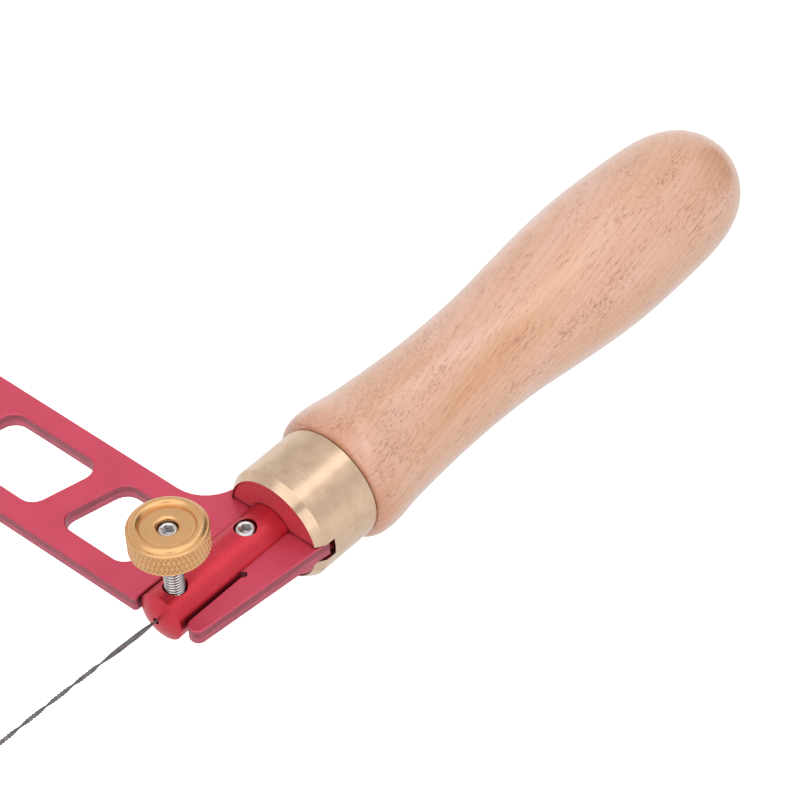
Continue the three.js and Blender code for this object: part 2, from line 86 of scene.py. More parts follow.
def make_camera():
    """A long lens, looking down on the near clamp from the blade's side, with a slight roll."""
    azimuth, elevation, roll = LOOK_AZIMUTH, LOOK_DOWN, LOOK_ROLL
    level = Vector((math.sin(azimuth), math.cos(azimuth), 0))
    ahead = level * math.cos(elevation) - Vector((0, 0, 1)) * math.sin(elevation)
    right = Vector((math.cos(azimuth), -math.sin(azimuth), 0))
    down = ahead.cross(right)
    turned_right = right * math.cos(roll) - down * math.sin(roll)
    turned_down = right * math.sin(roll) + down * math.cos(roll)
    aim = FERRULE_FRONT + turned_right * AIM_RIGHT - turned_down * AIM_UP
    place = aim - ahead * LENS_DISTANCE
    camera = bpy.data.objects.new("camera", bpy.data.cameras.new("camera"))
    camera.data.sensor_width = 36
    camera.data.lens = LENS
    camera.data.clip_end = 20
    camera.matrix_world = Matrix((
        (turned_right.x, -turned_down.x, -ahead.x, place.x),
        (turned_right.y, -turned_down.y, -ahead.y, place.y),
        (turned_right.z, -turned_down.z, -ahead.z, place.z),
        (0, 0, 0, 1),
    ))
    scene.collection.objects.link(camera)
    scene.camera = camera


# ---------------------------------------------------------------- light and floor

def soft_box(name, place, aim, width, height, power):
    """A white rectangular lamp at place, turned towards aim."""
    light = bpy.data.lights.new(name, "AREA")
    light.shape = "RECTANGLE"
    light.size = width
    light.size_y = height
    light.energy = power
    lamp = bpy.data.objects.new(name, light)
    lamp.location = place
    lamp.rotation_euler = (Vector(aim) - Vector(place)).to_track_quat("-Z", "Y").to_euler()
    scene.collection.objects.link(lamp)


TENT_STRENGTH = 1.08
TENT = ((0.0, 0.78), (0.46, 0.95), (0.74, 0.74), (1.0, 0.82))   # share of the way up, grey

# Parts of the tent that are darker or brighter: the direction, the cosines of the angle from it at
# which the part starts and is full, and the factor.
PATCHES = (
    ((0.95, -0.26, 0.18), 0.86, 0.95, 0.25),       # a dark card to the right
    ((-0.42, -0.42, 0.80), 0.50, 0.78, 1.7),       # the bright front, above the lens
    ((-0.507, -0.497, 0.704), 0.984, 0.992, 0.4),  # the lens and its stand
)

STRIP_PLACE = (0.5, -0.24, 0.86)   # from the middle of the ferrule's front edge
STRIP_LONG, STRIP_WIDE = 1.1, 0.17
STRIP_POWER = 0.42


def light_tent():
    """A white tent all round, brightest near the horizon, changed by the patches."""
    world = bpy.data.worlds.new("light_tent")
    world.use_nodes = True
    tree = world.node_tree
    direction = tree.nodes.new("ShaderNodeTexCoord").outputs["Generated"]
    axes = tree.nodes.new("ShaderNodeSeparateXYZ")
    tree.links.new(direction, axes.inputs["Vector"])
    lift = tree.nodes.new("ShaderNodeMath")
    lift.operation = "MULTIPLY_ADD"
    lift.inputs[1].default_value = 0.5
    lift.inputs[2].default_value = 0.5
    tree.links.new(axes.outputs["Z"], lift.inputs[0])
    shade = tree.nodes.new("ShaderNodeValToRGB")
    shade.color_ramp.elements.new(0.5)
    shade.color_ramp.elements.new(0.5)
    for element, (height, grey) in zip(shade.color_ramp.elements, TENT):
        element.position = height
        element.color = (grey, grey, grey, 1)
    tree.links.new(lift.outputs[0], shade.inputs["Fac"])
    light = shade.outputs["Color"]
    for toward, starts, full, factor in PATCHES:
        nearness = tree.nodes.new("ShaderNodeVectorMath")
        nearness.operation = "DOT_PRODUCT"
        nearness.inputs[1].default_value = Vector(toward).normalized()
        tree.links.new(direction, nearness.inputs[0])
        change = tree.nodes.new("ShaderNodeMapRange")
        change.interpolation_type = "SMOOTHSTEP"
        change.inputs["From Min"].default_value = starts
        change.inputs["From Max"].default_value = full
        change.inputs["To Min"].default_value = 1
        change.inputs["To Max"].default_value = factor
        tree.links.new(nearness.outputs["Value"], change.inputs["Value"])
        scaled = tree.nodes.new("ShaderNodeVectorMath")
        scaled.operation = "SCALE"
        tree.links.new(light, scaled.inputs[0])
        tree.links.new(change.outputs["Result"], scaled.inputs["Scale"])
        light = scaled.outputs["Vector"]
    tree.links.new(light, tree.nodes["Background"].inputs["Color"])
    tree.nodes["Background"].inputs["Strength"].default_value = TENT_STRENGTH
    scene.world = world


def make_stage():
    """The tent, a pale floor that only the lens sees, and a strip lamp over the handle."""
    light_tent()

    half = 4.0
    mesh = bpy.data.meshes.new("floor")
    corners = [(-half, -half, 0), (half, -half, 0), (half, half, 0), (-half, half, 0)]
    mesh.from_pydata(corners, [], [(0, 1, 2, 3)])
    floor = bpy.data.objects.new("floor", mesh)
    scene.collection.objects.link(floor)
    material = bpy.data.materials.new("floor")
    material.use_nodes = True
    shader = material.node_tree.nodes["Principled BSDF"]
    shader.inputs["Base Color"].default_value = (0.93, 0.93, 0.93, 1)
    shader.inputs["Roughness"].default_value = 0.9
    shader.inputs["Emission Color"].default_value = (1, 1, 1, 1)
    shader.inputs["Emission Strength"].default_value = 1.0
    mesh.materials.append(material)
    floor.visible_diffuse = False
    floor.visible_glossy = False

    centre = FERRULE_FRONT
    soft_box("strip", centre + Vector(STRIP_PLACE), centre, STRIP_LONG, STRIP_WIDE, STRIP_POWER)
    scene.view_settings.view_transform = "Standard"


# ---------------------------------------------------------------- node helpers

class Nodes:
    """Builds one material: short calls for the nodes that the finishes below share."""

    def __init__(self, name):
        self.material = bpy.data.materials.new(name)
        self.material.use_nodes = True
        self.tree = self.material.node_tree
        self.shader = self.tree.nodes["Principled BSDF"]
        source = self.tree.nodes.new("ShaderNodeTexCoord")
        self.coordinates = source.outputs["Object"]
        self.normals = source.outputs["Normal"]

    def node(self, kind, **settings):
        made = self.tree.nodes.new(kind)
        for name, value in settings.items():
            setattr(made, name, value)
        return made

    def link(self, source, target):
        self.tree.links.new(source, target)

    def placed(self, scale=(1, 1, 1), location=(0, 0, 0), turn=None):
        """Object coordinates, turned if asked, seen from location and then scaled."""
        source = self.coordinates
        if turn is not None:
            rotate = self.node("ShaderNodeMapping")
            rotate.inputs["Rotation"].default_value = turn
            self.link(source, rotate.inputs["Vector"])
            source = rotate.outputs["Vector"]
        mapping = self.node("ShaderNodeMapping")
        mapping.inputs["Location"].default_value = [-a * b for a, b in zip(location, scale)]
        mapping.inputs["Scale"].default_value = scale
        self.link(source, mapping.inputs["Vector"])
        return mapping.outputs["Vector"]

    def noise(self, size, stretch=(1, 1, 1), detail=2.0, roughness=0.5, distortion=0.0, turn=None):
        """Noise whose blobs are about size metres across, drawn out along each axis by stretch."""
        scale = [1 / (size * s) for s in stretch]
        made = self.node("ShaderNodeTexNoise")
        made.inputs["Scale"].default_value = 1
        made.inputs["Detail"].default_value = detail
        made.inputs["Roughness"].default_value = roughness
        made.inputs["Distortion"].default_value = distortion
        self.link(self.placed(scale, turn=turn), made.inputs["Vector"])
        return made.outputs["Fac"]

    def ramp(self, source, *stops):
        """A colour ramp through (position, colour or grey)."""
        made = self.node("ShaderNodeValToRGB")
        elements = made.color_ramp.elements
        while len(elements) < len(stops):
            elements.new(0.5)
        for element, (position, value) in zip(elements, stops):
            colour = (value, value, value) if isinstance(value, (int, float)) else value
            element.position = position
            element.color = (*colour, 1)
        self.link(source, made.inputs["Fac"])
        return made.outputs["Color"]

    def mix(self, share, first, second, blend="MIX"):
        """Mixes two colours, each a socket or a constant."""
        made = self.node("ShaderNodeMix", data_type="RGBA", blend_type=blend)
        for value, target in ((share, 0), (first, 6), (second, 7)):
            socket = made.inputs[target]
            if isinstance(value, bpy.types.NodeSocket):
                self.link(value, socket)
            elif target == 0:
                socket.default_value = value
            else:
                socket.default_value = (*value, 1)
        return made.outputs[2]

    def times(self, *colours):
        """The product of two or more colours."""
        product = colours[0]
        for colour in colours[1:]:
            product = self.mix(1.0, product, colour, "MULTIPLY")
        return product

    def add(self, *sockets, weights):
        """A weighted sum of grey values."""
        total = None
        for socket, weight in zip(sockets, weights):
            scaled = self.node("ShaderNodeMath", operation="MULTIPLY_ADD")
            self.link(socket, scaled.inputs[0])
            scaled.inputs[1].default_value = weight
            if total is None:
                scaled.inputs[2].default_value = 0
            else:
                self.link(total, scaled.inputs[2])
            total = scaled.outputs[0]
        return total

    def bump(self, height, depth, strength):
        """Bump of depth metres over a height from 0 to 1."""
        made = self.node("ShaderNodeBump")
        made.inputs["Strength"].default_value = strength
        made.inputs["Distance"].default_value = depth
        self.link(height, made.inputs["Height"])
        self.link(made.outputs["Normal"], self.shader.inputs["Normal"])

    def set(self, **values):
        """Constants, set on the shader's own sockets."""
        for name, value in values.items():
            self.shader.inputs[name.replace("_", " ")].default_value = value

    def painted_crevice_shade(self, colour, reach, dark=0.25):
        """Painted shade: the colour, darkened where other surfaces stand closer than reach: gaps, roots,
        corners.
        """
        made = self.node("ShaderNodeAmbientOcclusion", samples=6)
        made.inputs["Distance"].default_value = reach
        shade = self.ramp(made.outputs["AO"], (0.2, dark), (0.75, 1.0))
        return self.times(colour, shade)

    def feed(self, source, name):
        """Links a socket to the shader's input of that name."""
        self.link(source, self.shader.inputs[name])


# ---------------------------------------------------------------- materials

def anodised_plate():
    """Dyed aluminium sheet: a satin grain on the faces, and darker, greyer milled edges with cutter
    marks, with painted shade over the edges' upper half.
    """
    n = Nodes("anodised_plate")
    cloud = n.noise(9 * MM, detail=3)
    grain = n.noise(0.16 * MM, detail=2, roughness=0.7)
    face = n.ramp(cloud, (0.3, (0.680, 0.074, 0.128)), (0.7, (0.720, 0.086, 0.146)))
    streaks = n.noise(0.5 * MM, stretch=(9, 9, 1), detail=3)
    marks = n.noise(0.22 * MM, stretch=(1, 1, 30), detail=2)
    edge = n.ramp(n.add(streaks, marks, weights=(0.75, 0.25)),
                  (0.36, (0.400, 0.088, 0.130)), (0.64, (0.640, 0.125, 0.178)))
    # painted shade: the side walls' upper half is coloured darker than their lower half
    low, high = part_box("frame_plate")
    height = n.node("ShaderNodeSeparateXYZ")
    n.link(n.placed((1, 1, 1 / (high.z - low.z)), (0, 0, low.z)), height.inputs["Vector"])
    shaded = n.ramp(height.outputs["Z"], (0.4, 1.0), (0.58, 0.68))     # the upper half is darker
    flatness = n.node("ShaderNodeSeparateXYZ")
    n.link(n.normals, flatness.inputs["Vector"])
    flat = n.ramp(flatness.outputs["Z"], (0.3, 0.0), (0.85, 1.0))
    speck = n.ramp(grain, (0.3, 0.93), (0.7, 1.0))
    # the dye, with the painted shade of the side walls mixed in
    dye_and_painted_shade = n.times(n.mix(flat, n.times(edge, shaded), face), speck)
    # painted shade in the plate's holes, slots and the corners it makes with the parts on it
    n.feed(n.painted_crevice_shade(dye_and_painted_shade, 1.5 * MM, 0.03), "Base Color")
    n.feed(n.ramp(n.noise(0.5 * MM, detail=3), (0.3, 0.4), (0.7, 0.48)), "Roughness")
    n.set(Metallic=0.75, Coat_Weight=0.2, Coat_Roughness=0.3)
    n.bump(n.add(grain, marks, weights=(0.8, 0.2)), 0.012 * MM, 0.3)
    return n.material


def anodised_turned(name, dull):
    """Turned and dyed aluminium: fine tool lines round an axis along X, under a satin grain. dull,
    from 0 to 1, makes it greyer and less of a mirror."""
    n = Nodes(name)
    cloud = n.noise(6 * MM, detail=3)
    grain = n.noise(0.3 * MM, detail=2, roughness=0.8)
    lines = n.noise(0.1 * MM, stretch=(1, 60, 60), detail=2)
    grey = 0.04 * dull
    colour = n.ramp(cloud, (0.3, (0.640, 0.034 + grey, 0.058 + grey)),
                    (0.7, (0.700, 0.042 + grey, 0.070 + grey)))
    speck = n.ramp(grain, (0.32, 0.80), (0.68, 1.0))
    # painted shade in the gaps and corners round the turned red parts
    n.feed(n.painted_crevice_shade(n.times(colour, speck), 0.9 * MM, 0.12), "Base Color")
    n.feed(n.ramp(lines, (0.3, 0.33), (0.7, 0.42)), "Roughness")
    n.set(Metallic=0.85 - 0.5 * dull, Coat_Weight=0.2 + 0.6 * dull, Coat_Roughness=0.25 + 0.2 * dull)
    n.bump(n.add(grain, lines, weights=(0.75, 0.25)), 0.035 * MM, 0.6)
    return n.material


def anodised_gold(axis):
    """Turned gold-dyed aluminium. The tool's fine rings lie round the piece's own axis."""
    n = Nodes(f"anodised_gold_{axis.lower()}")
    rings = n.node("ShaderNodeTexWave", wave_type="RINGS", rings_direction=axis)
    rings.inputs["Scale"].default_value = 1 / (0.6 * MM)
    rings.inputs["Distortion"].default_value = 0.6
    rings.inputs["Detail"].default_value = 2
    n.link(n.placed(), rings.inputs["Vector"])
    cloud = n.noise(3 * MM, detail=3)
    colour = n.ramp(cloud, (0.3, (0.745, 0.420, 0.188)), (0.7, (0.800, 0.460, 0.215)))
    ringed = n.times(colour, n.ramp(rings.outputs["Fac"], (0.0, 0.94), (1.0, 1.0)))
    # painted shade in the knurl's grooves, the ledge and the knob's recess
    n.feed(n.painted_crevice_shade(ringed, 0.5 * MM, 0.4), "Base Color")
    n.feed(n.ramp(n.noise(0.6 * MM, detail=3), (0.3, 0.20), (0.7, 0.27)), "Roughness")
    n.set(Metallic=1.0)
    n.bump(n.add(rings.outputs["Fac"], n.noise(0.3 * MM), weights=(0.7, 0.3)), 0.0012 * MM, 0.4)
    return n.material


def turned_brass():
    """Pale turned brass: tool lines round the handle's axis, faint stains and a few tiny pits."""
    n = Nodes("turned_brass")
    stain = n.noise(3.5 * MM, detail=4, roughness=0.6)
    lines = n.noise(0.16 * MM, stretch=(1, 60, 60), detail=2)
    fine = n.noise(0.22 * MM, detail=3, roughness=0.7)
    pits = n.node("ShaderNodeTexVoronoi", feature="F1")
    pits.inputs["Scale"].default_value = 1
    n.link(n.placed([1 / (3.4 * MM)] * 3), pits.inputs["Vector"])
    pit = n.ramp(pits.outputs["Distance"], (0.035, 0.0), (0.07, 1.0))
    colour = n.ramp(stain, (0.3, (0.66, 0.465, 0.325)), (0.5, (0.73, 0.525, 0.370)),
                    (0.7, (0.77, 0.57, 0.415)))
    worn = n.ramp(fine, (0.3, 0.90), (0.6, 1.0))
    lined = n.ramp(lines, (0.3, 0.94), (0.65, 1.0))
    pitted = n.times(colour, worn, lined, n.ramp(pit, (0.0, 0.35), (1.0, 1.0)))
    # painted shade in the gaps round the brass parts and in their pits
    n.feed(n.painted_crevice_shade(pitted, 0.6 * MM), "Base Color")
    n.feed(n.ramp(n.add(lines, stain, weights=(0.5, 0.5)), (0.3, 0.13), (0.7, 0.21)), "Roughness")
    n.set(Metallic=1.0)
    n.bump(n.add(lines, fine, pit, weights=(0.3, 0.2, 0.5)), 0.005 * MM, 0.4)
    return n.material


def bright_steel(name, threaded):
    """Machined steel with fine tool marks. On an upright threaded screw, painted shade darkens the roots
    of the thread, and leaves the socket and the faces that look up undarkened."""
    n = Nodes(name)
    fine = n.noise(0.12 * MM, detail=3)
    colour = n.ramp(n.noise(1.5 * MM, detail=3), (0.3, (0.56, 0.54, 0.54)), (0.7, (0.70, 0.68, 0.68)))
    if threaded:
        from_axis = n.node("ShaderNodeVectorMath", operation="LENGTH")
        n.link(n.placed(scale=(1 / M5_CREST, 1 / M5_CREST, 0)), from_axis.inputs[0])
        # painted shade: the thread's roots are coloured dark, except on faces that look up
        root = n.ramp(from_axis.outputs["Value"], (0.72, 1.0), (0.76, 0.12), (0.88, 0.12),
                      (0.97, 1.0))
        facing = n.node("ShaderNodeSeparateXYZ")
        n.link(n.normals, facing.inputs["Vector"])
        up = n.ramp(facing.outputs["Z"], (0.75, 0.0), (0.9, 1.0))
        colour = n.times(colour, n.mix(up, root, (1, 1, 1)))
    # painted shade in the gaps, roots and corners of the steel parts
    n.feed(n.painted_crevice_shade(colour, 0.5 * MM, 0.1), "Base Color")
    n.feed(n.ramp(fine, (0.3, 0.12), (0.7, 0.22)), "Roughness")
    n.set(Metallic=1.0)
    n.bump(fine, 0.003 * MM, 0.4)
    return n.material


def blade_steel():
    """Dark hardened steel, drawn and filed along the blade."""
    n = Nodes("blade_steel")
    marks = n.noise(0.1 * MM, stretch=(8, 1, 1), detail=3)
    colour = n.ramp(n.noise(1.2 * MM, detail=3), (0.3, (0.130, 0.118, 0.130)),
                    (0.7, (0.230, 0.215, 0.235)))
    n.feed(colour, "Base Color")
    n.feed(n.ramp(marks, (0.3, 0.35), (0.7, 0.5)), "Roughness")
    n.set(Metallic=0.9)
    n.bump(marks, 0.008 * MM, 0.5)
    return n.material


def varnished_beech():
    """Beech under satin varnish. Its grain leans a little from the handle's axis, so the growth rings
    come out as arches on one side. Short thin pores and flecks follow the grain, the lathe left ticks
    round the shoulder, and the colour there is darker and redder."""
    n = Nodes("varnished_beech")
    ring_width = 1.5 * MM
    wave_length = 0.314            # of the wave node, at a scale of 1
    lean = (0, math.radians(8), math.radians(-8))
    tone = n.noise(11 * MM, stretch=(7, 1, 1), detail=3, distortion=0.4, turn=lean)
    rings = n.node("ShaderNodeTexWave", wave_type="RINGS", rings_direction="X")
    rings.inputs["Scale"].default_value = wave_length / ring_width
    rings.inputs["Distortion"].default_value = 2.6
    rings.inputs["Detail"].default_value = 2
    rings.inputs["Detail Scale"].default_value = 0.5
    n.link(n.placed(location=(0, 14 * MM, 33 * MM), turn=lean), rings.inputs["Vector"])
    fibres = n.noise(0.30 * MM, stretch=(22, 1, 1), detail=3, roughness=0.6, turn=lean)
    pores = n.noise(0.19 * MM, stretch=(9, 1, 1), detail=1, turn=lean)
    crowd = n.noise(5 * MM, stretch=(3, 1, 1), detail=2, turn=lean)
    flecks = n.noise(0.26 * MM, stretch=(13, 1, 1), detail=1, turn=lean)
    base = n.ramp(tone, (0.36, (0.660, 0.330, 0.175)), (0.5, (0.700, 0.380, 0.238)),
                  (0.64, (0.730, 0.420, 0.305)))
    ring = n.ramp(rings.outputs["Fac"], (0.0, (0.95, 0.91, 0.88)), (0.45, 1.0))
    fibre = n.ramp(fibres, (0.3, (0.93, 0.88, 0.85)), (0.6, 1.0))
    near_cut = n.add(pores, crowd, weights=(1.0, 0.35))
    pore = n.ramp(near_cut, (0.455, (0.62, 0.43, 0.32)), (0.52, 1.0))
    crowded = n.add(flecks, crowd, weights=(1.0, 0.3))
    fleck = n.ramp(crowded, (0.43, (0.52, 0.34, 0.25)), (0.50, 1.0))
    along = n.node("ShaderNodeSeparateXYZ")
    n.link(n.placed((1 / (HANDLE_HIGH.x - FERRULE_LOW.x),) * 3), along.inputs["Vector"])
    shoulder = n.ramp(along.outputs["X"], (0.125, (0.88, 0.76, 0.70)), (0.165, 1.0))
    n.feed(n.times(base, ring, fibre, pore, fleck, shoulder), "Base Color")
    ticks = n.noise(0.28 * MM, stretch=(9, 1, 1), detail=2)
    turned_end = n.ramp(along.outputs["X"], (0.128, 0.0), (0.140, 1.0), (0.156, 1.0), (0.168, 0.0))
    chatter = n.mix(turned_end, (0.5, 0.5, 0.5), ticks)
    sheen = n.noise(0.2 * MM, detail=2)
    n.feed(n.ramp(fibres, (0.3, 0.38), (0.7, 0.5)), "Roughness")
    n.set(Coat_Weight=1.0, Coat_Roughness=0.12, Coat_IOR=1.75)
    n.set(Subsurface_Weight=0.06, Subsurface_Scale=1.5 * MM, Subsurface_Radius=(1.0, 0.5, 0.3))
    n.bump(n.add(fibres, pore, sheen, chatter, weights=(0.25, 0.25, 0.3, 0.6)), 0.03 * MM, 0.4)
    n.link(n.shader.inputs["Normal"].links[0].from_socket, n.shader.inputs["Coat Normal"])
    return n.material


PLATE = anodised_plate()
RED = anodised_turned("anodised_turned", 0)
DULL_RED = anodised_turned("anodised_collar", 1)
GOLD_UPRIGHT = anodised_gold("Z")
GOLD_LYING = anodised_gold("X")
BRASS = turned_brass()
STEEL = bright_steel("bright_steel", False)
ROOT_SHADED_STEEL = bright_steel("root_shaded_steel", True)
DARK = blade_steel()
BEECH = varnished_beech()


# ---------------------------------------------------------------- mesh helpers

def make_object(name, points, faces, material, origin, sharp):
    """A mesh object whose local origin is at origin. Edges bent by more than sharp degrees stay crisp."""
    mesh = bpy.data.meshes.new(name)
    mesh.from_pydata([tuple(p) for p in points], [], faces)
    mesh.validate()
    mesh.polygons.foreach_set("use_smooth", [True] * len(mesh.polygons))
    mesh.set_sharp_from_angle(angle=math.radians(sharp))
    mesh.materials.append(material)
    made = bpy.data.objects.new(name, mesh)
    made.location = origin
    scene.collection.objects.link(made)
    return made


def loft(name, rings, material, origin, sharp, loop=False, basis=None):
    """Skins rings of equally many points. A ring with one point closes the end. loop joins the last
    ring to the first. basis turns the points, which are drawn round Z, to another axis."""
    points, starts = [], []
    for ring in rings:
        starts.append(len(points))
        points.extend(ring)
    faces = []
    count = max(len(ring) for ring in rings)
    pairs = list(zip(range(len(rings) - 1), range(1, len(rings))))
    if loop:
        pairs.append((len(rings) - 1, 0))
    for first, second in pairs:
        a, b = starts[first], starts[second]
        for side in range(count):
            after = (side + 1) % count
            if len(rings[first]) == 1:
                faces.append((a, b + after, b + side))
            elif len(rings[second]) == 1:
                faces.append((a + side, a + after, b))
            else:
                faces.append((a + side, a + after, b + after, b + side))
    if basis is not None:
        points = [basis @ Vector(p) for p in points]
    return make_object(name, points, faces, material, origin, sharp)


def circle(radius, height, sides):
    """A ring round Z. radius is a number or a function of the angle and the height."""
    ring = []
    for side in range(sides):
        angle = 2 * math.pi * side / sides
        r = radius(angle, height) if callable(radius) else radius
        ring.append((r * math.cos(angle), r * math.sin(angle), height))
    return ring


def hexagon(across_flats, height, sides):
    """A hexagon round Z with as many points as the circle it joins."""
    apothem = across_flats / 2
    sector = math.pi / 3
    return circle(lambda angle, _: apothem / math.cos(angle % sector - sector / 2), height, sides)


# ---------------------------------------------------------------- knurled knobs

KNURLS = 52                        # diamonds round a knob
KNOB_SIDES = KNURLS * 10
KNOB_RADIUS = 9 * MM
KNOB_BORE = 2.38 * MM              # a radius too
KNURL_DEPTH = 0.22 * MM
KNURL_LEAN = 0.30 / MM             # diamonds' widths that a groove shifts for each metre of height

# the ledge, the rim, the recess and the bore: millimetres below the knob's top, and radius
KNOB_TOP = (
    (1.2, 8.94), (1.1, 8.86), (1.04, 8.74), (1.02, 8.58), (0.98, 8.48), (0.88, 8.44), (0.72, 8.42),
    (0.6, 8.34), (0.42, 8.18), (0.25, 7.94), (0.11, 7.64), (0.03, 7.34), (0.0, 7.1), (0.04, 6.9),
    (0.13, 6.7), (0.28, 6.5), (0.5, 6.3), (0.7, 6.16), (0.92, 6.08), (0.96, 6.0),
    (0.92, 5.92), (0.92, 4.6), (0.92, 3.4), (0.96, 2.9), (1.2, 2.5), (1.4, 2.38),
)


def knurl(radius, depth, low, high):
    """Radius function of a diamond knurl between two heights, fading out at both ends."""
    fade = 0.2 * MM
    land = 0.6                     # share of each diamond that the grooves leave

    def value(angle, height):
        around = KNURLS * angle / (2 * math.pi)
        cuts = []
        for side in (1, -1):
            phase = (around + side * KNURL_LEAN * (height - low)) % 1
            wave = abs(2 * phase - 1)
            cuts.append(max(0.0, (wave - land) / (1 - land)))
        share = min(1.0, max(0.0, (height - low) / fade), max(0.0, (high - height) / fade))
        return radius - depth * max(cuts) * share
    return value


def knurled_knob(name, node, body, origin, basis, height, material):
    """A knob with a knurled band, a stepped ledge, a rounded rim, a recessed face and a plain bore."""
    low, high = 0.14 * MM, height - 1.3 * MM       # the knurled band
    rings = [
        circle(KNOB_BORE, 0, KNOB_SIDES),
        circle(KNOB_RADIUS - 0.3 * MM, 0, KNOB_SIDES),
        circle(KNOB_RADIUS - 0.06 * MM, 0.08 * MM, KNOB_SIDES),
    ]
    band = knurl(KNOB_RADIUS, KNURL_DEPTH, low, high)
    rows = 48
    for row in range(rows + 1):
        rings.append(circle(band, low + (high - low) * row / rows, KNOB_SIDES))
    for down, across in KNOB_TOP:
        rings.append(circle(across * MM, height - down * MM, KNOB_SIDES))
    made = loft(name, rings, material, origin, 40, loop=True, basis=basis)
    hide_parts(node)
    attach(made, body)


# ---------------------------------------------------------------- screws

SOCKET = 2.5 * MM                  # across the flats
SOCKET_DEPTH = 2.3 * MM


def threaded(name, nodes, body, origin, basis, length, socket=SOCKET, slot="steel"):
    """A headless M5 screw from local height 0 to length, with a real helix and a hexagon socket on
    top. A socket of 0 leaves the top plain."""
    sides = 48
    edge = 0.3 * MM                # the thread fades out this far from each end
    fade = 0.12 * MM               # to this far below its root
    depth = M5_CREST - M5_ROOT
    face = M5_ROOT - 0.16 * MM

    def radius(angle, height):
        phase = (height / M5_PITCH - angle / (2 * math.pi)) % 1
        ridge = min(1.0, max(0.0, (1 - abs(2 * phase - 1)) * 1.25))
        ends = min(1.0, height / edge, (length - height) / edge)
        return min(M5_ROOT + depth * ridge, M5_ROOT - fade + (depth + fade) * max(0.0, ends))

    steps = max(8, round(length / (M5_PITCH / 8)))
    rings = [[(0, 0, 0)], circle(face, 0, sides)]
    for step in range(steps + 1):
        rings.append(circle(radius, length * step / steps, sides))
    if socket:
        rim = socket / 2 / math.cos(math.pi / 6) + 0.12 * MM
        rings.append(circle(face, length, sides))
        rings.append(circle(min(rim, M5_ROOT - 0.3 * MM), length - 0.03 * MM, sides))
        rings.append(hexagon(socket, length - 0.2 * MM, sides))
        rings.append(hexagon(socket, length - SOCKET_DEPTH, sides))
        rings.append([(0, 0, length - SOCKET_DEPTH - 0.3 * MM)])
    else:
        rings.append(circle(M5_ROOT - 0.35 * MM, length, sides))
        rings.append([(0, 0, length)])
    steel = ROOT_SHADED_STEEL if basis == UP else STEEL
    made = loft(name, rings, steel, origin, 32, basis=basis)
    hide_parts(*nodes)
    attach(made, body)


# ---------------------------------------------------------------- handle

def smooth_curve(knots, steps):
    """A Catmull-Rom curve through knots, with steps points for each span."""
    padded = [2 * knots[0] - knots[1], *knots, 2 * knots[-1] - knots[-2]]
    points = []
    for p0, p1, p2, p3 in zip(padded, padded[1:], padded[2:], padded[3:]):
        for step in range(steps):
            t = step / steps
            points.append(0.5 * (2 * p1 + (p2 - p0) * t + (2 * p0 - 5 * p1 + 4 * p2 - p3) * t ** 2
                                 + (3 * p1 - p0 - 3 * p2 + p3) * t ** 3))
    points.append(knots[-1])
    return points


def handle():
    """The turned handle: a bored tenon in the ferrule, a rounded shoulder, waist, belly and dome. Its
    outline is in millimetres: distance behind the ferrule's front edge, and radius."""
    sides = 160
    tip = (HANDLE_HIGH.x - FERRULE_FRONT.x) / MM
    belly = (HANDLE_HIGH.z - HANDLE_LOW.z) / 2 / MM
    rear = (FERRULE_HIGH.x - FERRULE_LOW.x) / MM + 0.05
    bores = [(58, 0), (58, 3.2), (52.5, 3.2), (52.5, 5.05), (34.8, 5.05), (34.8, 7.05), (9.8, 7.05),
             (9.8, 12.35), (rear, 12.35), (rear, 13.6)]
    shoulder = [Vector(p) for p in (
        (rear + 0.1, 14.2), (rear + 0.35, 14.9), (rear + 1.1, 15.55), (rear + 2.4, 16), (23, 16.2))]
    body = [Vector(p) for p in (
        (23, 16.2), (26.5, 15.95), (32, 15.2), (42, 14.45), (52, 14), (62, 13.95), (74, 14.35),
        (86, 15.5), (98, 16.65), (110, belly), (120, 17.1), (130, 16.65), (138, 15.9),
        (143.5, 14.6), (148, 12.5), (151.6, 9.3), (154.1, 5.2), (tip, 0))]
    outside = smooth_curve(shoulder, 4)[:-1] + smooth_curve(body, 9)
    profile = bores + [(p.x, p.y) for p in outside]
    rings = []
    for along, radius in profile:
        height = along * MM
        if radius <= 0:
            rings.append([(0, 0, height)])
        else:
            rings.append(circle(min(radius, belly) * MM, height, sides))
    made = loft("beech_handle", rings, BEECH, FERRULE_FRONT, 40, basis=ALONG_X)
    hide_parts("handle")
    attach(made, "frame")


# ---------------------------------------------------------------- blade

BLADE_BOW = 1.6 * MM
BLADE_WIDTH = 1.15 * MM
BLADE_THICK = 0.5 * MM
TOOTH_PITCH = 0.9 * MM
TOOTH_DEPTH = 0.3 * MM


